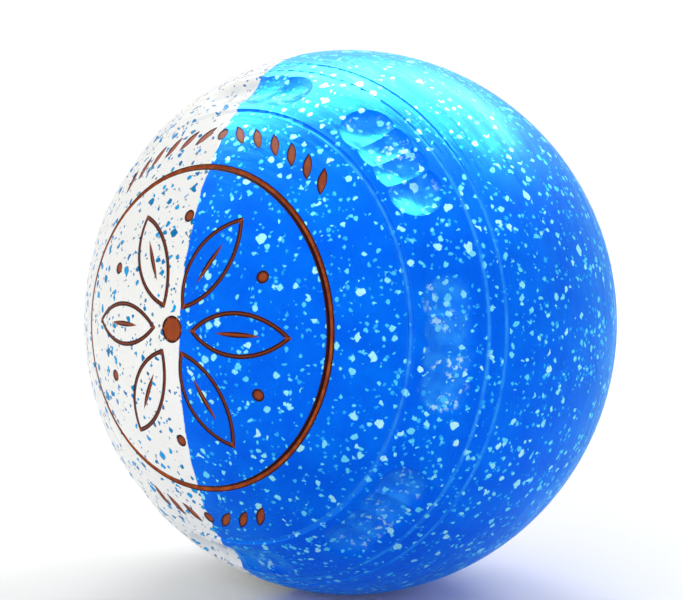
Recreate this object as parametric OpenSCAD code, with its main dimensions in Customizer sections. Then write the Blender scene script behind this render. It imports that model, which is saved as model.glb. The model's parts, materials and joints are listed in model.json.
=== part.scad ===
// Two-tone lawn bowl with scooped finger grips, turned lines and enamelled engraving
// The rolling axis lies along Y, the emblem side faces -Y and +Z is up.
// The white half is at -X and the blue half at +X. Sizes are in millimetres.

/* [Bowl] */
// Diameter over the crown, the line that the bowl rolls on
crown_d = 121; // [116:0.5:131]
// How far the middle of the emblem side falls short of a true ball
emblem_flat = 4.5; // [3.5:0.25:5.5]
// How far the middle of the fuller bias side falls short of a true ball
bias_flat = 2; // [1.5:0.25:3]
// Angle from the rolling axis at which each face meets the crown curve
face_angle = 42; // [41:0.5:44]

/* [Core] */
// Diameter of the core that the coloured shells are moulded round
core_d = 84; // [72:1:96]

/* [Colour seam] */
// Lean of the seam between the colours over the emblem side
seam_lean = 9; // [0:0.5:10]
// Distance from the crown plane at which the leaning seam crosses the rolling axis
seam_cross_h = 43; // [41:0.5:45]
// Distance from the crown plane at which the lean ends and the seam runs straight
seam_bend_h = 22; // [18:0.5:23]

/* [Turned lines] */
// Width of the line round each face
face_line_w = 1.2; // [0.8:0.1:1.6]
// Depth of the line round each face
face_line_depth = 0.4; // [0.2:0.05:0.6]
// Width of each of the two thin lines between grip and crown
thin_line_w = 0.8; // [0.4:0.05:1.2]
// Depth of each thin line
thin_line_depth = 0.22; // [0.1:0.02:0.4]
// Distance of the inner thin line from the crown plane
inner_line_h = 28.25; // [27.5:0.25:28.75]
// Distance of the outer thin line from the crown plane
outer_line_h = 25; // [20:0.25:26.25]

/* [Grip] */
// Groups of scoops round each side
grip_groups = 8; // [4:1:9]
// Overlapping scoops in each group
scoops = 4; // [2:1:5]
// Angle round the axis from one scoop to the next
scoop_pitch = 6.4; // [5.5:0.1:7.5]
// Distance of the scoops from the crown plane
scoop_h = 34.25; // [33.5:0.25:35]
// Width of the mouth of one scoop
scoop_d = 10.5; // [9:0.1:11.5]
// Depth of one scoop
scoop_depth = 1.3; // [0.8:0.05:1.6]

/* [Engraving] */
// Depth of the drawn marks in the emblem side
engrave_depth = 0.5; // [0.4:0.05:0.8]
// How far all enamel stays below the face
enamel_sink = 0.12; // [0.05:0.01:0.25]
// Middle radius of the ring on the emblem side
ring_r = 31.2; // [29.5:0.1:32.5]
// Middle radius of the smaller ring that marks the bias side
bias_ring_r = 21; // [14:0.25:28]
// Width of both rings, which are V-cut with a flat floor
ring_w = 1.6; // [1.2:0.1:2.2]
// Width of the floor of both rings
ring_floor_w = 0.4; // [0.2:0.05:0.6]
// Depth of both rings
ring_depth = 0.75; // [0.5:0.05:1]
// Thickness of the enamel that lines the rings
ring_film = 0.25; // [0.15:0.05:0.3]
// Distance of the petals' inner tips from the middle of the rosette
petal_start = 4.4; // [4:0.1:6]
// Length of a petal
petal_l = 20.5; // [16:0.25:22]
// Width of a petal
petal_w = 8.8; // [6:0.1:10]
// Width of the line that a petal is drawn with
petal_line_w = 0.9; // [0.6:0.05:1.3]
// Length of the vein in a petal
vein_l = 9; // [5:0.25:11]
// Width of the vein in a petal
vein_w = 1.1; // [0.8:0.05:1.8]
// Radius of the rosette's hub
hub_r = 2.6; // [1.5:0.1:3.2]
// Radius of the dots between the petals
dot_r = 1.2; // [0.8:0.05:1.3]
// Distance of the dots from the middle of the rosette
dot_place_r = 21.5; // [19.5:0.25:24.5]

/* [Leaf bands] */
// Middle radius of both leaf bands
leaf_band_r = 37.8; // [37:0.1:38.6]
// Length of a leaf
leaf_l = 5.4; // [4:0.1:6]
// Width of a leaf
leaf_w = 1.7; // [1.4:0.1:2.6]
// Tilt of a leaf out of the line of its band
leaf_tilt = 38; // [25:1:50]
// Angle round the axis from one leaf to the next
leaf_pitch = 6.8; // [6:0.1:8]
// Leaves on each side of the upper band's berry
upper_leaf_pairs = 6; // [2:1:8]
// Leaves on each side of the lower band's berry
lower_leaf_pairs = 3; // [2:1:8]
// Radius of the berry in the middle of each band
berry_r = 1.2; // [0.8:0.05:1.6]

/* [Hidden] */
$fn = 128;

petals = 6;
crown_r = crown_d / 2;
// The crown plane lies towards the emblem side, so that the origin is halfway across the width
crown_y = (bias_flat - emblem_flat) / 2;
group_angle = 360 / grip_groups;
// Anything of this size reaches past the whole bowl
past_bowl = 2 * crown_d;

// Arc radii and centres are kept to a hundredth of a millimetre
function hundredth(x) = round(100 * x) / 100;

// Each side is a spherical face that runs tangent into a rounder crown curve.
// The face's centre lies on the axis this far past the crown plane.
function face_drop(flat) = hundredth(flat / (1 + tan(face_angle) - 1 / cos(face_angle)));
function face_r(flat) = crown_r - flat + face_drop(flat);
// The crown curve's centre lies on the crown plane this far from the axis.
function curve_out(flat) = hundredth(face_drop(flat) * tan(face_angle));
function curve_r(flat) = crown_r - curve_out(flat);
// Angle above the crown plane of the point on the crown curve at a height, and that point
function curve_angle(flat, h) = asin(h / curve_r(flat));
function curve_point(flat, a) = [curve_out(flat) + curve_r(flat) * cos(a), curve_r(flat) * sin(a)];

// Radius of a round cutter that leaves a cut of a given width and depth
function cutter_r(w, depth) = (w * w / 4 + depth * depth) / (2 * depth);

// Places what is drawn round Z, with the emblem side up, in the part's own frame
module on_axle() {
    translate([0, crown_y, 0]) rotate([90, 0, 0]) children();
}

// Half outline of one side, from the axis to the crown, with x as radius and y as height
module side_outline(flat) {
    meeting = 2 * curve_point(flat, 90 - face_angle);
    intersection() {
        translate([0, -face_drop(flat)]) circle(face_r(flat));
        polygon([[0, 0], meeting, [0, past_bowl]]);
    }
    intersection() {
        translate([curve_out(flat), 0]) circle(curve_r(flat));
        polygon([[0, 0], [past_bowl, 0], [past_bowl, meeting[1]], meeting]);
    }
}

// Round cutter of one turned line, at an angle on the crown curve
module line_cut(flat, a, w, depth) {
    r = cutter_r(w, depth);
    translate(curve_point(flat, a) + (r - depth) * [cos(a), sin(a)]) circle(r);
}

module side_section(flat) {
    difference() {
        side_outline(flat);
        line_cut(flat, 90 - face_angle, face_line_w, face_line_depth);
        line_cut(flat, curve_angle(flat, inner_line_h), thin_line_w, thin_line_depth);
        line_cut(flat, curve_angle(flat, outer_line_h), thin_line_w, thin_line_depth);
        circle(d = core_d);
    }
}

module shell_section() {
    side_section(emblem_flat);
    mirror([0, 1]) side_section(bias_flat);
}

// Ball that cuts one scoop at the height of the grip, in the plane of the section
module scoop_ball(flat) {
    a = curve_angle(flat, scoop_h);
    bulge = curve_r(flat) - sqrt(pow(curve_r(flat), 2) - pow(scoop_d / 2, 2));
    r = cutter_r(scoop_d, scoop_depth - bulge);
    p = curve_point(flat, a) + (r - scoop_depth) * [cos(a), sin(a)];
    translate([p[0], 0, p[1]]) sphere(r);
}

// The scoops of one side, with one group centred on each end of the colour seam
module side_scoops(flat) {
    for (g = [0:grip_groups - 1])
        for (s = [0:scoops - 1])
            rotate(90 + g * group_angle + (s - (scoops - 1) / 2) * scoop_pitch) scoop_ball(flat);
}

module scoops_all() {
    side_scoops(emblem_flat);
    mirror([0, 0, 1]) side_scoops(bias_flat);
}

// Ball to a given depth under the spherical face of one side, with its poles turned off the face
module under_face(flat, depth) {
    translate([0, 0, -face_drop(flat)]) rotate([90, 0, 0]) sphere(face_r(flat) - depth);
}

// Room that a flat design takes out of a face
module engraving(flat) {
    difference() {
        linear_extrude(past_bowl) children();
        under_face(flat, engrave_depth);
    }
}

// Enamel that fills an engraved design to just under the face
module enamel(flat) {
    intersection() {
        linear_extrude(past_bowl) children();
        difference() {
            under_face(flat, enamel_sink);
            under_face(flat, engrave_depth);
        }
    }
}

// Section of a ring's V-cut up to a height over its floor, with the floor's middle at the origin
module ring_bit(height) {
    flank = (ring_w - ring_floor_w) / 2 / ring_depth;
    floor_half = ring_floor_w / 2;
    top_half = floor_half + height * flank;
    polygon([[-floor_half, 0], [floor_half, 0], [top_half, height], [-top_half, height]]);
}

// Turns a section that stands on the floor of a ring, square to the face
module ring_turn(flat, r) {
    rotate_extrude() translate([0, -face_drop(flat)]) rotate(-asin(r / face_r(flat)))
        translate([0, face_r(flat) - ring_depth]) children();
}

module ring_cut(flat, r) {
    ring_turn(flat, r) ring_bit(2 * ring_depth);
}

// Enamel that lines a ring's floor and flanks to just under the face
module ring_enamel(flat, r) {
    ring_turn(flat, r) difference() {
        ring_bit(ring_depth - enamel_sink);
        translate([0, ring_film]) ring_bit(ring_depth);
    }
}

// Pointed oval with its tips on X: two arcs of one radius, which an inset shortens
module pointed_oval(l, w, inset = 0) {
    r = cutter_r(l, w / 2);
    intersection() {
        translate([0, r - w / 2]) circle(r - inset);
        translate([0, w / 2 - r]) circle(r - inset);
    }
}

// Flower of outlined petals, each with a vein, round a hub, with a dot between petals
module rosette_design() {
    step = 360 / petals;
    for (i = [0:petals - 1])
        rotate(i * step) {
            translate([petal_start + petal_l / 2, 0]) {
                difference() {
                    pointed_oval(petal_l, petal_w);
                    pointed_oval(petal_l, petal_w, petal_line_w);
                }
                pointed_oval(vein_l, vein_w);
            }
            rotate(step / 2) translate([dot_place_r, 0]) circle(dot_r);
        }
    circle(hub_r);
}

// Berry at the top of the band, with leaves that lean towards it on both sides
module leaf_band_design(pairs) {
    translate([0, leaf_band_r]) circle(berry_r);
    for (side = [0, 1])
        mirror([side, 0])
            for (i = [1:pairs])
                rotate(-i * leaf_pitch) translate([0, leaf_band_r]) rotate(-leaf_tilt)
                    pointed_oval(leaf_l, leaf_w);
}

module lower_band_design() {
    rotate(180) leaf_band_design(lower_leaf_pairs);
}

module emblem_side_design() {
    rosette_design();
    leaf_band_design(upper_leaf_pairs);
    lower_band_design();
}

// All that lies on one side of the colour seam, which leans over the emblem side, runs straight
// to the crown plane and comes back to the middle on the bias side
module seam_half(side) {
    top_x = (crown_r - seam_cross_h) * tan(seam_lean);
    bend_x = (seam_bend_h - seam_cross_h) * tan(seam_lean);
    rotate([90, 0, 0]) linear_extrude(past_bowl, center = true)
        polygon([[top_x, crown_r], [bend_x, seam_bend_h], [bend_x, 0], [0, -crown_r],
            [side * past_bowl, -crown_r], [side * past_bowl, crown_r]]);
}

// The outer layer on one side of the seam: -1 for the white half, 1 for the blue one.
// The revolve starts on the other side, which is cut away.
module half_shell(side) {
    on_axle() difference() {
        intersection() {
            rotate(side > 0 ? 180 : 0) rotate_extrude() shell_section();
            seam_half(side);
        }
        scoops_all();
        engraving(emblem_flat) emblem_side_design();
        ring_cut(emblem_flat, ring_r);
        mirror([0, 0, 1]) ring_cut(bias_flat, bias_ring_r);
    }
}

module core() {
    color("#6b4a36") on_axle() sphere(d = core_d);
}

module white_shell() {
    color("#eef2f5") half_shell(-1);
}

module blue_shell() {
    color("#0b5fd9") half_shell(1);
}

module emblem_ring() {
    color("#a4683f") on_axle() ring_enamel(emblem_flat, ring_r);
}

module emblem_rosette() {
    color("#a4683f") on_axle() enamel(emblem_flat) rosette_design();
}

module upper_leaves() {
    color("#a4683f") on_axle() enamel(emblem_flat) leaf_band_design(upper_leaf_pairs);
}

module lower_leaves() {
    color("#a4683f") on_axle() enamel(emblem_flat) lower_band_design();
}

module bias_ring() {
    color("#a4683f") on_axle() mirror([0, 0, 1]) ring_enamel(bias_flat, bias_ring_r);
}

core();
white_shell();
blue_shell();
emblem_ring();
emblem_rosette();
upper_leaves();
lower_leaves();
bias_ring();
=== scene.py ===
"""Looks of the two-tone lawn bowl: flecked resin, copper enamel, studio light and camera."""

import json
import math

import bpy
from mathutils import Matrix, Vector


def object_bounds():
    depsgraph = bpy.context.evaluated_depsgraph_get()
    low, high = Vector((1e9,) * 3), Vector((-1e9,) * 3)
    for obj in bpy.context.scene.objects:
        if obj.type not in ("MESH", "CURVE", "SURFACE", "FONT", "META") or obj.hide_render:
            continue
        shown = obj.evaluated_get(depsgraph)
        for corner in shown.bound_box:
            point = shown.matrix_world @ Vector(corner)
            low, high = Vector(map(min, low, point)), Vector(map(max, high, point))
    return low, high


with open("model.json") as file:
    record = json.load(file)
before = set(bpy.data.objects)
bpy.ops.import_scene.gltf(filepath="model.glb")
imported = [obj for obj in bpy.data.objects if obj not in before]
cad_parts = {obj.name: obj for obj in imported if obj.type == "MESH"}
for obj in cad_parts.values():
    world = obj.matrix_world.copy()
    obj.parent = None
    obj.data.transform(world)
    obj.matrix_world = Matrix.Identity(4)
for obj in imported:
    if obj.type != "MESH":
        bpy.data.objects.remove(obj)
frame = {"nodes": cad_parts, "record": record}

CAD_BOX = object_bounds()
MM = 0.001

# The mount is the lowest point of the crown, and the floor touches it
MOUNT = Vector(frame["record"]["mounts"][0]["pos_m"])
CROWN_R = -MOUNT.z
CROWN_CENTRE = MOUNT + Vector((0.0, 0.0, CROWN_R))
CROWN_R_MM = CROWN_R / MM
CROWN_Y_MM = CROWN_CENTRE.y / MM
FLOOR_Z = CAD_BOX[0].z
FLOOR_SIZE = 400 * CROWN_R

# Sizes of the bowl in millimetres: heights count from the crown plane towards the emblem side
EMBLEM_FLAT = 4.5
BIAS_FLAT = 2.0
FACE_ANGLE = math.radians(42)
THIN_LINES_H = (28.25, 25.0)
GRIP_H = 34.25
GRIP_GROUPS = 8
SCOOP_PITCH = math.radians(6.4)
SCOOP_R = 5.25
SEAM_LEAN = math.radians(9)
SEAM_CROSS_H = 43.0
SEAM_BEND_H = 22.0
EMBLEM_RING_R = 31.2
BIAS_RING_R = 21.0
PETALS = 6
PETAL_START = 4.4
PETAL_L = 20.5
PETAL_W = 8.8
PETAL_LINE_W = 0.9
DOT_PLACE_R = 21.5
DOT_R = 1.2
HUB_R = 2.6
LEAF_BAND_R = 37.8
LEAF_PITCH = math.radians(6.8)
LEAF_TILT = math.radians(38)
LEAF_L = 5.4
LEAF_W = 1.7
BERRY_R = 1.2


def crown_curve(flat):
    """How far the centre of a crown curve is from the axis, and its radius, for a face that is this flat."""
    face_drop = flat / (1 + math.tan(FACE_ANGLE) - 1 / math.cos(FACE_ANGLE))
    centre_out = face_drop * math.tan(FACE_ANGLE)
    return centre_out, CROWN_R_MM - centre_out


def face_line_height(flat):
    """Height of the line along which a face meets its crown curve."""
    _, curve_r = crown_curve(flat)
    return curve_r * math.cos(FACE_ANGLE)


def leaning_seam_x(h):
    """Where the leaning part of the seam is at a height."""
    return (h - SEAM_CROSS_H) * math.tan(SEAM_LEAN)


def lens_arc(length, width):
    """Radius of the two arcs round a lens shape, and how far their centres are from its long axis."""
    radius = (length ** 2 + width ** 2) / (4 * width)
    return radius, radius - width / 2


# Worked out from the sizes
EMBLEM_LINE_H = face_line_height(EMBLEM_FLAT)
BIAS_LINE_H = face_line_height(BIAS_FLAT)
CURVE_OUT, CURVE_R = crown_curve(EMBLEM_FLAT)
GRIP_SLOPE = math.asin(GRIP_H / CURVE_R)
GRIP_R = CURVE_OUT + CURVE_R * math.cos(GRIP_SLOPE)
SCOOP_TURNS = (0.5 * SCOOP_PITCH, 1.5 * SCOOP_PITCH)
SEAM_TOP_X = leaning_seam_x(CROWN_R_MM)
SEAM_BEND_X = leaning_seam_x(SEAM_BEND_H)
PETAL_MID_R = PETAL_START + PETAL_L / 2
PETAL_ARC_R, PETAL_ARC_OFF = lens_arc(PETAL_L, PETAL_W)
LEAF_ARC_R, LEAF_ARC_OFF = lens_arc(LEAF_L, LEAF_W)
DOT_ALONG = DOT_PLACE_R * math.cos(math.pi / PETALS)
DOT_ASIDE = DOT_PLACE_R * math.sin(math.pi / PETALS)

# Fades: a mark is full up to the first distance in millimetres and gone from the second
FACE_LINE_FADE = (0.20, 0.55)
THIN_LINE_FADE = (0.16, 0.50)
GRIP_FADE = (0.70 * SCOOP_R, SCOOP_R)
# The enamel fades below set how far the painted shade at the edges of each cut reaches
RING_FADE = (0.20, 0.42)
PETAL_LINE_FADE = (-0.15, 0.30)
VEIN_FADE = (0.05, 0.35)
DOT_FADE = (0.45 * DOT_R, 0.85 * DOT_R)
HUB_FADE = (0.70 * HUB_R, 0.92 * HUB_R)
BERRY_FADE = (0.45 * BERRY_R, 0.85 * BERRY_R)
LEAF_FADE = (LEAF_ARC_R - 0.45, LEAF_ARC_R - 0.15)

# Noise patterns: size in millimetres, detail, and the two ends of the noise that the pattern goes between
BLUE_MOTTLE = (7.0, 4.0, 0.30, 0.70)
LINE_DUST = (4.0, 3.0, 0.30, 0.62)
GRIP_SMEARS = (3.0, 4.0, 0.40, 0.68)
SCUFF_MARKS = (1.2, 5.0, 0.54, 0.62)
SCUFF_PATCHES = (5.0, 1.0, 0.50, 0.60)
COPPER_MOTTLE = (1.6, 3.0, 0.30, 0.65)
FLECK_CLUSTERS = (3.6, 1.0, 0.36, 0.68)
# What those patterns amount to at their two ends
LINE_DUST_AMOUNT = (0.35, 0.90)
GRIP_SMEARS_AMOUNT = (0.25, 0.62)
FLECK_CLUSTERS_AMOUNT = (0.2, 2.4)
# How much of the wear shows on white, and the size of the cream clouds in it in millimetres
WHITE_WEAR = 0.7
CREAM_CLOUD_SIZE = 18.0

# The seam of the colours: size and detail of its waves, how far they reach and how soft it is, in millimetres
SEAM_WAVE_SIZE = 4.0
SEAM_WAVE_DETAIL = 3.0
SEAM_WAVE_REACH = 0.5
SEAM_BLUR = 0.12

# Streaks round the axis: width in millimetres, and radius of the ring of noise that they are read from,
# where a smaller ring gives longer streaks
TURNING_STREAKS = (1.2, 4.0)
POLISH_STREAKS = (3.5, 18.0)
STREAK_DETAIL = 3.0
# The two kinds added up, and the roughness that they give
STREAK_ENDS = (0.7, 1.3)
RESIN_ROUGHNESS = (0.20, 0.46)

# Relief: depths in millimetres, and the strength of the faint marks of turning
SCOOP_RELIEF = 0.6
POLISH_RELIEF = 0.13
TURNING_RELIEF = 0.05
TURNING_STRENGTH = 0.10
# Grain: size and depth in millimetres, and strength
ENAMEL_GRAIN = (0.35, 0.08, 0.25)
CORE_GRAIN = (0.5, 0.10, 0.4)

# The photograph's frame, and the lens and place that it was taken from
PHOTO_W, PHOTO_H = 683, 600
FOCAL_PX = 1141.6
SENSOR_MM = 36.0
BOWL_PX = (345.1, 321.3)
CAMERA_DISTANCE = 4.3 * CROWN_R
CLIP_START = 0.05 * CAMERA_DISTANCE
CLIP_END = 200 * CAMERA_DISTANCE
# The rolling axis points left of the line of sight and a little down, and the bowl is rolled about it
AXIS_AZIMUTH = math.radians(35.85)
AXIS_DROP = math.radians(0.68)
BOWL_ROLL = math.radians(-3.4)

# Colours, linear
BLUE = (0.0005, 0.155, 0.900, 1.0)
DEEP_BLUE = (0.0005, 0.115, 0.840, 1.0)
AZURE_FLECK = (0.012, 0.340, 0.950, 1.0)
CYAN_FLECK = (0.090, 0.640, 0.960, 1.0)
PALE_FLECK = (0.360, 0.840, 0.950, 1.0)
WHITE_FLECK = (0.500, 0.880, 0.960, 1.0)
WORN_BLUE = (0.030, 0.330, 0.950, 1.0)
SCUFFED_BLUE = (0.360, 0.680, 0.940, 1.0)
WHITE = (0.870, 0.885, 0.885, 1.0)
CREAM = (0.870, 0.860, 0.810, 1.0)
BLUE_FLECK = (0.000, 0.390, 0.860, 1.0)
TEAL_FLECK = (0.000, 0.160, 0.400, 1.0)
GREY_FLECK = (0.280, 0.450, 0.470, 1.0)
NAVY_RIM = (0.003, 0.014, 0.060, 1.0)
WORN_WHITE = (0.560, 0.620, 0.680, 1.0)
COPPER = (0.470, 0.095, 0.012, 1.0)
RUST = (0.270, 0.045, 0.010, 1.0)
# Painted shade at the edges of the enamel cuts
EDGE_SHADE_BROWN = (0.030, 0.004, 0.005, 1.0)
CORE_BROWN = (0.120, 0.060, 0.040, 1.0)
DARK_CHIP = (0.040, 0.022, 0.016, 1.0)
FLOOR_WHITE = (0.950, 0.950, 0.950, 1.0)
SKY_WHITE = (1.000, 1.000, 1.000, 1.0)

# How much of the enamel is bright copper and not rust
RING_COPPER = 1.0
LEAF_COPPER = 0.5
ROSETTE_COPPER = 0.25

# Gloss: the blue resin is a pearl one, whose shine takes its own colour, and the others are plain
CYAN_SHINE = (0.150, 0.850, 1.000, 1.0)
AZURE_SHEEN = (0.000, 0.420, 1.000, 1.0)
BLUE_GLOSS = {
    "Metallic": 0.55, "IOR": 1.5, "Specular_IOR_Level": 0.15, "Specular_Tint": CYAN_SHINE,
    "Sheen_Weight": 0.2, "Sheen_Roughness": 0.5, "Sheen_Tint": AZURE_SHEEN,
}
WHITE_GLOSS = {"IOR": 1.5, "Specular_IOR_Level": 0.04}
ENAMEL_GLOSS = {"Roughness": 0.42, "Specular_IOR_Level": 0.12}
CORE_GLOSS = {"Roughness": 0.6}
FLOOR_GLOSS = {"Roughness": 0.9}

# Flecks: cell of the packing and radius of the largest chip in millimetres, share of cells with a chip,
# the two ends of their colours, and the colour of their rims
PALE_FLECKS = (
    (1.30, 0.55, 0.48, AZURE_FLECK, CYAN_FLECK, AZURE_FLECK),
    (2.00, 0.84, 0.45, CYAN_FLECK, PALE_FLECK, CYAN_FLECK),
    (3.40, 1.26, 0.24, PALE_FLECK, WHITE_FLECK, CYAN_FLECK),
)
DARK_FLECKS = (
    (1.20, 0.46, 0.28, TEAL_FLECK, GREY_FLECK, TEAL_FLECK),
    (1.90, 0.84, 0.42, BLUE_FLECK, TEAL_FLECK, TEAL_FLECK),
    (3.00, 1.26, 0.30, BLUE_FLECK, TEAL_FLECK, NAVY_RIM),
)
CORE_CHIPS = ((1.8, 0.72, 0.5, DARK_CHIP, DARK_CHIP, DARK_CHIP),)
# The dark flecks are read from another place, so that they are no copy of the pale ones
DARK_FLECKS_SHIFT = (31.0, 17.0, 53.0)
# A power below 2, the power of round chips, gives the chips corners
FLECK_CORNERS = 1.4
FLECK_RANDOMNESS = 0.8
# Radius of the smallest chip as a share of the largest one's
SMALLEST_FLECK = 0.5
# Size and reach of the bends that make the chips uneven, half their soft edge and the width of their rim,
# in millimetres
BEND_SIZE = 1.5
BEND_REACH = 0.65
FLECK_EDGE = 0.09
FLECK_RIM = 0.16

# Light: the share of white that each lamp gives to a surface that faces it, where it comes from
# as the camera sees it (right, up, away), and its width in degrees
AMBIENT = 0.46
LAMPS = {
    "left_key": (0.21, (-0.08, 0.86, 0.50), 24),
    "right_key": (0.22, (0.42, 0.79, 0.44), 24),
    "top": (0.04, (-0.10, 0.97, 0.05), 40),
    "fill": (0.50, (-0.45, 0.15, -0.85), 70),
}
# Soft boxes, which show in the gloss and light nothing
SOFT_BOXES = {
    "left_box": (1.70, (-0.25, 0.91, 0.33), 42),
    "right_box": (1.55, (0.34, 0.86, 0.36), 44),
    "ceiling": (0.55, (0.00, 0.95, 0.10), 120),
}


class Graph:
    """A material's node tree, with short calls that add a node and give back its output."""

    def __init__(self, name, plain_colour):
        self.material = bpy.data.materials.new(name)
        self.material.use_nodes = True
        self.material.diffuse_color = plain_colour
        self.tree = self.material.node_tree
        self.shader = self.tree.nodes["Principled BSDF"]

    def put(self, socket, value):
        """A value is a number, a colour or another node's output."""
        if isinstance(value, bpy.types.NodeSocket):
            self.tree.links.new(value, socket)
        else:
            socket.default_value = value

    def node(self, kind, inputs, **settings):
        made = self.tree.nodes.new(kind)
        for key, value in settings.items():
            setattr(made, key, value)
        for key, value in inputs.items():
            self.put(made.inputs[key], value)
        return made

    def finish(self, **inputs):
        """Sets inputs of the shader; an underscore in a name stands for a space."""
        for key, value in inputs.items():
            self.put(self.shader.inputs[key.replace("_", " ")], value)
        return self.material

    def math(self, operation, a, b=0.0):
        return self.node("ShaderNodeMath", {0: a, 1: b}, operation=operation).outputs[0]

    def most(self, first, *others):
        """The largest of some values."""
        for other in others:
            first = self.math("MAXIMUM", first, other)
        return first

    def length(self, a, b):
        """Length of the step with sides a and b."""
        squares = self.math("ADD", self.math("MULTIPLY", a, a), self.math("MULTIPLY", b, b))
        return self.math("SQRT", squares)

    def off(self, value, middle):
        """How far a value is from a middle."""
        return self.math("ABSOLUTE", self.math("SUBTRACT", value, middle))

    def vector(self, operation, a, b):
        return self.node("ShaderNodeVectorMath", {0: a, 1: b}, operation=operation).outputs[0]

    def mix(self, factor, a, b):
        made = self.node("ShaderNodeMix", {0: factor}, data_type="RGBA")
        self.put(made.inputs[6], a)
        self.put(made.inputs[7], b)
        return made.outputs[2]

    def span(self, value, low, high, start=0.0, end=1.0, shape="SMOOTHSTEP"):
        """Goes from start at low to end at high, and stays there."""
        ends = {0: value, 1: low, 2: high, 3: start, 4: end}
        return self.node("ShaderNodeMapRange", ends, interpolation_type=shape).outputs[0]

    def fade(self, value, ends):
        """1 up to the first end, 0 from the second."""
        return self.span(value, *ends, 1.0, 0.0)

    def choose(self, which, first, second):
        """The first value where which is 0, the second where it is 1, and a blend between."""
        return self.span(which, 0.0, 1.0, first, second, "LINEAR")

    def noise(self, place, size_mm, detail=2.0, output="Fac"):
        inputs = {"Vector": place, "Scale": 1 / size_mm, "Detail": detail}
        return self.node("ShaderNodeTexNoise", inputs).outputs[output]

    def pattern(self, place, kind, amount=(0.0, 1.0), shape="SMOOTHSTEP"):
        """A noise pattern, and what it amounts to at its two ends."""
        size_mm, detail, low, high = kind
        return self.span(self.noise(place, size_mm, detail), low, high, *amount, shape)

    def bump(self, height, depth_mm, strength=1.0, over=None):
        """A normal bent by a height, over another bent normal if there is one."""
        inputs = {"Strength": strength, "Distance": depth_mm * MM, "Height": height}
        if over:
            inputs["Normal"] = over
        return self.node("ShaderNodeBump", inputs).outputs[0]

    def grain(self, place, size_mm, depth_mm, strength):
        return self.bump(self.noise(place, size_mm), depth_mm, strength)

    def place_mm(self):
        """Where a point is on the part, in millimetres."""
        coordinates = self.tree.nodes.new("ShaderNodeTexCoord")
        return self.vector("MULTIPLY", coordinates.outputs["Object"], (1 / MM,) * 3)

    def sides(self, place):
        """The place square to the rolling axis, as x and z, and its height over the crown plane."""
        x, y, z = self.node("ShaderNodeSeparateXYZ", {0: place}).outputs
        return x, z, self.math("SUBTRACT", CROWN_Y_MM, y)

    def fold(self, x, z, copies):
        """Angle round the axis from the middle of the nearest of some even copies, to either side."""
        turn = self.math("ADD", self.math("ARCTAN2", z, x), 2 * math.pi)
        return self.math("PINGPONG", turn, math.pi / copies)

    def parts(self, r, turn):
        """The parts of a radius along and beside the line that it is turned from."""
        return [self.math("MULTIPLY", r, self.math(part, turn)) for part in ("COSINE", "SINE")]

    def bent(self, place, size_mm, reach_mm):
        """The place, shifted about so that shapes drawn from it are uneven."""
        shift = self.vector("SUBTRACT", self.noise(place, size_mm, output="Color"), (0.5,) * 3)
        return self.vector("ADD", place, self.vector("MULTIPLY", shift, (2 * reach_mm,) * 3))

    def flecks(self, place, crowd, cell_mm, radius_mm, share):
        """Chips of a random packing: depth inside the nearest in mm, whether it is kept, and its shade."""
        packing = {
            "Vector": place, "Scale": 1 / cell_mm,
            "Randomness": FLECK_RANDOMNESS, "Exponent": FLECK_CORNERS,
        }
        cells = self.node("ShaderNodeTexVoronoi", packing, distance="MINKOWSKI")
        draw = self.node("ShaderNodeSeparateColor", {0: cells.outputs["Color"]}).outputs
        kept = self.math("LESS_THAN", draw[0], self.math("MULTIPLY", crowd, share))
        radius = self.choose(draw[1], SMALLEST_FLECK * radius_mm, radius_mm)
        depth = self.math("SUBTRACT", radius, self.math("MULTIPLY", cells.outputs["Distance"], cell_mm))
        return depth, kept, draw[2]

    def flecked(self, place, base, kinds):
        """Flecks of several kinds over a base colour, in loose clusters."""
        crowd = self.pattern(place, FLECK_CLUSTERS, FLECK_CLUSTERS_AMOUNT, "LINEAR")
        uneven = self.bent(place, BEND_SIZE, BEND_REACH)
        for cell_mm, radius_mm, share, first_colour, last_colour, rim_colour in kinds:
            depth, kept, shade = self.flecks(uneven, crowd, cell_mm, radius_mm, share)
            chip = self.math("MULTIPLY", self.span(depth, -FLECK_EDGE, FLECK_EDGE), kept)
            inside = self.mix(shade, first_colour, last_colour)
            inside = self.mix(self.span(depth, 0.0, FLECK_RIM), rim_colour, inside)
            base = self.mix(chip, base, inside)
        return base


def seam_side(g, place, x, h):
    """Above 0 on the blue side of the colour seam, which wanders a little beside the joint of the shells."""
    leaning = g.span(h, SEAM_BEND_H, CROWN_R_MM, SEAM_BEND_X, SEAM_TOP_X, "LINEAR")
    coming_back = g.span(h, -CROWN_R_MM, 0.0, -SEAM_BEND_X, 0.0, "LINEAR")
    waves = g.noise(place, SEAM_WAVE_SIZE, SEAM_WAVE_DETAIL)
    wander = g.choose(waves, -SEAM_WAVE_REACH, SEAM_WAVE_REACH)
    seam_x = g.math("ADD", g.math("ADD", leaning, coming_back), wander)
    return g.math("SUBTRACT", x, seam_x)


def turned_lines(g, h):
    """1 in the turned lines, 0 beside them."""
    level = g.math("ABSOLUTE", h)
    face_line_h = g.choose(g.math("GREATER_THAN", h, 0.0), BIAS_LINE_H, EMBLEM_LINE_H)
    face_line = g.fade(g.off(level, face_line_h), FACE_LINE_FADE)
    thin_lines = [g.fade(g.off(level, height), THIN_LINE_FADE) for height in THIN_LINES_H]
    return g.most(face_line, *thin_lines)


def from_scoop(g, x, z, h):
    """How far a place is from the middle of the nearest finger scoop."""
    from_group = g.fold(x, z, GRIP_GROUPS)
    from_middle = g.math("MINIMUM", *(g.off(from_group, turn) for turn in SCOOP_TURNS))
    along = g.math("MULTIPLY", from_middle, GRIP_R)
    across = g.math("DIVIDE", g.off(g.math("ABSOLUTE", h), GRIP_H), math.cos(GRIP_SLOPE))
    return g.length(along, across)


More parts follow.
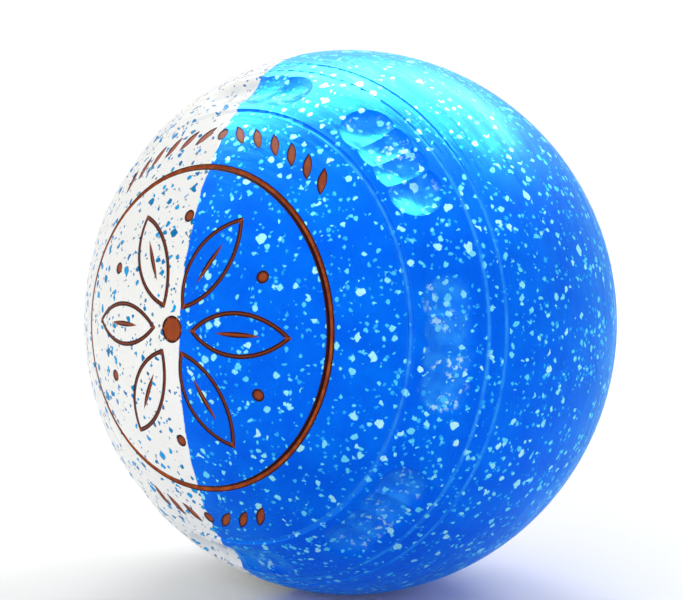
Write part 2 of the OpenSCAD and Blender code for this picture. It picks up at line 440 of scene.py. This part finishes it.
def streaks(g, x, z, h, size_mm, ring_mm):
    """Streaks round the rolling axis, from turning and polishing."""
    r = g.length(x, z)
    level = g.math("SUBTRACT", g.math("ABSOLUTE", h), r)
    ring_x, ring_z = (g.math("MULTIPLY", g.math("DIVIDE", side, r), ring_mm) for side in (x, z))
    ring = g.node("ShaderNodeCombineXYZ", {0: level, 1: ring_x, 2: ring_z}).outputs[0]
    return g.noise(ring, size_mm, STREAK_DETAIL)


def resin(name, plain_colour, gloss):
    """Polished flecked resin. Both shells use it, as the colours meet beside the joint of the shells."""
    g = Graph(name, plain_colour)
    place = g.place_mm()
    x, z, h = g.sides(place)

    blue = g.mix(g.pattern(place, BLUE_MOTTLE), DEEP_BLUE, BLUE)
    blue = g.flecked(place, blue, PALE_FLECKS)
    white = g.mix(g.noise(place, CREAM_CLOUD_SIZE), WHITE, CREAM)
    white = g.flecked(g.vector("ADD", place, DARK_FLECKS_SHIFT), white, DARK_FLECKS)

    # Polish and dust stay in the turned lines, and hands wear and scuff the grip
    dust = g.math("MULTIPLY", turned_lines(g, h), g.pattern(place, LINE_DUST, LINE_DUST_AMOUNT))
    scoop = from_scoop(g, x, z, h)
    grips = g.fade(scoop, GRIP_FADE)
    smears = g.math("MULTIPLY", grips, g.pattern(place, GRIP_SMEARS, GRIP_SMEARS_AMOUNT))
    worn = g.most(dust, smears)
    scuffs = g.math("MULTIPLY", g.pattern(place, SCUFF_MARKS), g.pattern(place, SCUFF_PATCHES))
    blue = g.mix(g.math("MULTIPLY", grips, scuffs), g.mix(worn, blue, WORN_BLUE), SCUFFED_BLUE)
    white = g.mix(g.math("MULTIPLY", worn, WHITE_WEAR), white, WORN_WHITE)
    colour = g.mix(g.span(seam_side(g, place, x, h), -SEAM_BLUR, SEAM_BLUR), white, blue)

    turning = streaks(g, x, z, h, *TURNING_STREAKS)
    polish = streaks(g, x, z, h, *POLISH_STREAKS)
    roughness = g.span(g.math("ADD", turning, polish), *STREAK_ENDS, *RESIN_ROUGHNESS, "LINEAR")
    dished = g.bump(g.span(scoop, 0.0, SCOOP_R), SCOOP_RELIEF)
    waved = g.bump(polish, POLISH_RELIEF, over=dished)
    normal = g.bump(turning, TURNING_RELIEF, TURNING_STRENGTH, over=waved)
    return g.finish(Base_Color=colour, Roughness=roughness, Normal=normal, **gloss)


def enamel(name, painted_edge_shade, most_copper):
    """Copper enamel in a cut, with painted shade: dark brown towards the edges of the cut stands for the
    shade of its walls, and bright copper lies along the middle.
    """
    g = Graph(name, COPPER)
    place = g.place_mm()
    colour = g.mix(g.pattern(place, COPPER_MOTTLE, (most_copper, 0.0)), RUST, COPPER)
    # Dark brown towards the edges of each cut is painted shade of the cut's walls, and bright copper lies
    # along the middle
    colour = g.mix(painted_edge_shade(g, place), EDGE_SHADE_BROWN, colour)
    return g.finish(Base_Color=colour, Normal=g.grain(place, *ENAMEL_GRAIN), **ENAMEL_GLOSS)


def ring_edge_shade(ring_r):
    """Painted shade of a ring's cut: 1 along its middle, 0 at both edges, where the enamel is painted dark as
    shade.
    """
    def depth(g, place):
        x, z, _ = g.sides(place)
        return g.fade(g.off(g.length(x, z), ring_r), RING_FADE)
    return depth


def rosette_edge_shade(g, place):
    """Painted shade at the edges of the rosette's outlines, dots, hub and veins, from one half of one petal:
    1 along their middles, 0 at their edges.
    """
    x, z, _ = g.sides(place)
    r = g.length(x, z)
    along, aside = g.parts(r, g.fold(x, z, PETALS))
    arc = g.length(g.math("SUBTRACT", along, PETAL_MID_R), g.math("ADD", aside, PETAL_ARC_OFF))
    outline = g.fade(g.off(arc, PETAL_ARC_R - PETAL_LINE_W / 2), PETAL_LINE_FADE)
    from_dot = g.length(g.math("SUBTRACT", along, DOT_ALONG), g.math("SUBTRACT", aside, DOT_ASIDE))
    dot = g.fade(from_dot, DOT_FADE)
    hub = g.fade(r, HUB_FADE)
    vein = g.fade(aside, VEIN_FADE)
    return g.most(outline, dot, hub, vein)


def leaf_edge_shade(g, place):
    """Painted shade at the edges of the leaves and berries, counted round the axis from the top and the
    bottom of the face: 1 in their middles, 0 at their edges.
    """
    x, z, _ = g.sides(place)
    x = g.math("ABSOLUTE", x)
    z = g.math("ABSOLUTE", z)
    turn = g.math("ARCTAN2", x, z)
    count = g.math("ROUND", g.math("DIVIDE", turn, LEAF_PITCH))
    from_leaf = g.math("SUBTRACT", turn, g.math("MULTIPLY", count, LEAF_PITCH))
    reach, aside = g.parts(g.length(x, z), from_leaf)
    outward = g.math("SUBTRACT", reach, LEAF_BAND_R)
    berry = g.fade(g.length(aside, outward), BERRY_FADE)
    along = g.math("SUBTRACT", g.math("MULTIPLY", aside, math.cos(LEAF_TILT)),
                   g.math("MULTIPLY", outward, math.sin(LEAF_TILT)))
    across = g.math("ADD", g.math("MULTIPLY", aside, math.sin(LEAF_TILT)),
                    g.math("MULTIPLY", outward, math.cos(LEAF_TILT)))
    arc = g.length(along, g.math("ADD", g.math("ABSOLUTE", across), LEAF_ARC_OFF))
    return g.choose(g.math("GREATER_THAN", count, 0.5), berry, g.fade(arc, LEAF_FADE))


def pressed_core():
    """Dark pressed resin of the core, with chips of wood flour."""
    g = Graph("core_resin", CORE_BROWN)
    place = g.place_mm()
    colour = g.flecked(place, CORE_BROWN, CORE_CHIPS)
    return g.finish(Base_Color=colour, Normal=g.grain(place, *CORE_GRAIN), **CORE_GLOSS)


def dress(materials):
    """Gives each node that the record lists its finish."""
    for row in frame["record"]["subparts"]:
        node = frame["nodes"][row["node"]]
        node.data.materials.clear()
        node.data.materials.append(materials[row["node"]])


def make_floor():
    """Wide white floor that keeps the bowl's shadow."""
    bpy.ops.mesh.primitive_plane_add(size=FLOOR_SIZE, location=(0, 0, FLOOR_Z))
    floor = bpy.context.object
    floor.name = "floor"
    floor.data.materials.append(Graph("floor", FLOOR_WHITE).finish(Base_Color=FLOOR_WHITE, **FLOOR_GLOSS))


def make_world():
    """White to the camera and in reflections, softer as a light."""
    world = bpy.data.worlds.new("studio")
    bpy.context.scene.world = world
    world.use_nodes = True
    nodes, links = world.node_tree.nodes, world.node_tree.links
    path = nodes.new("ShaderNodeLightPath")
    strength = nodes.new("ShaderNodeMapRange")
    strength.inputs[3].default_value = AMBIENT
    strength.inputs[4].default_value = 1.0
    seen = path.outputs["Is Camera Ray"]
    for kind in ("Is Glossy Ray", "Is Transmission Ray"):
        either = nodes.new("ShaderNodeMath")
        either.operation = "MAXIMUM"
        links.new(seen, either.inputs[0])
        links.new(path.outputs[kind], either.inputs[1])
        seen = either.outputs[0]
    links.new(seen, strength.inputs[0])
    background = nodes["Background"]
    background.inputs[0].default_value = SKY_WHITE
    links.new(strength.outputs[0], background.inputs[1])


def find_camera_axes():
    """Right, down and away of the camera, as directions on the bowl."""
    # The emblem side and the upright as the camera sees them, in those three directions
    emblem = Vector((
        -math.sin(AXIS_AZIMUTH) * math.cos(AXIS_DROP),
        math.sin(AXIS_DROP),
        -math.cos(AXIS_AZIMUTH) * math.cos(AXIS_DROP),
    ))
    upright = Vector((0, -1, 0))
    level_up = (upright - emblem * upright.dot(emblem)).normalized()
    to_left = emblem.cross(level_up)
    up = level_up * math.cos(BOWL_ROLL) + to_left * math.sin(BOWL_ROLL)
    bowl_y = -emblem
    bowl_x = bowl_y.cross(up)
    return Matrix((bowl_x, bowl_y, up)).col


def make_lamp(name, axes, share, comes_from, width, is_box):
    """A wide, far lamp, as even on the floor as on the bowl. A soft box shows only in the gloss."""
    right, down, away = axes
    direction = right * comes_from[0] - down * comes_from[1] + away * comes_from[2]
    light = bpy.data.lights.new(name, "SUN")
    light.energy = share * math.pi
    light.angle = math.radians(width)
    lamp = bpy.data.objects.new(name, light)
    lamp.visible_diffuse = not is_box
    lamp.visible_glossy = is_box
    bpy.context.scene.collection.objects.link(lamp)
    lamp.rotation_euler = direction.to_track_quat("Z", "Y").to_euler()


def make_camera(axes):
    """The camera of the photograph, from where the bowl lies in the picture."""
    right, down, away = axes
    aside = (BOWL_PX[0] - PHOTO_W / 2) / FOCAL_PX
    below = (BOWL_PX[1] - PHOTO_H / 2) / FOCAL_PX
    to_bowl = (right * aside + down * below + away) * CAMERA_DISTANCE
    data = bpy.data.cameras.new("camera")
    data.sensor_width = SENSOR_MM
    data.lens = FOCAL_PX * SENSOR_MM / PHOTO_W
    data.clip_start = CLIP_START
    data.clip_end = CLIP_END
    camera = bpy.data.objects.new("camera", data)
    bpy.context.scene.collection.objects.link(camera)
    turn = Matrix((right, -down, -away)).transposed().to_4x4()
    camera.matrix_world = Matrix.Translation(CROWN_CENTRE - to_bowl) @ turn
    bpy.context.scene.camera = camera


bpy.context.scene.view_settings.view_transform = "Standard"
leaf_enamel = enamel("leaf_enamel", leaf_edge_shade, LEAF_COPPER)
dress({
    "core": pressed_core(),
    "white_shell": resin("white_resin", WHITE, WHITE_GLOSS),
    "blue_shell": resin("blue_resin", BLUE, BLUE_GLOSS),
    "emblem_ring": enamel("ring_enamel", ring_edge_shade(EMBLEM_RING_R), RING_COPPER),
    "emblem_rosette": enamel("rosette_enamel", rosette_edge_shade, ROSETTE_COPPER),
    "upper_leaves": leaf_enamel,
    "lower_leaves": leaf_enamel,
    "bias_ring": enamel("bias_enamel", ring_edge_shade(BIAS_RING_R), RING_COPPER),
})
make_floor()
make_world()
camera_axes = find_camera_axes()
for lamp_name, lamp_values in LAMPS.items():
    make_lamp(lamp_name, camera_axes, *lamp_values, is_box=False)
for box_name, box_values in SOFT_BOXES.items():
    make_lamp(box_name, camera_axes, *box_values, is_box=True)
make_camera(camera_axes)
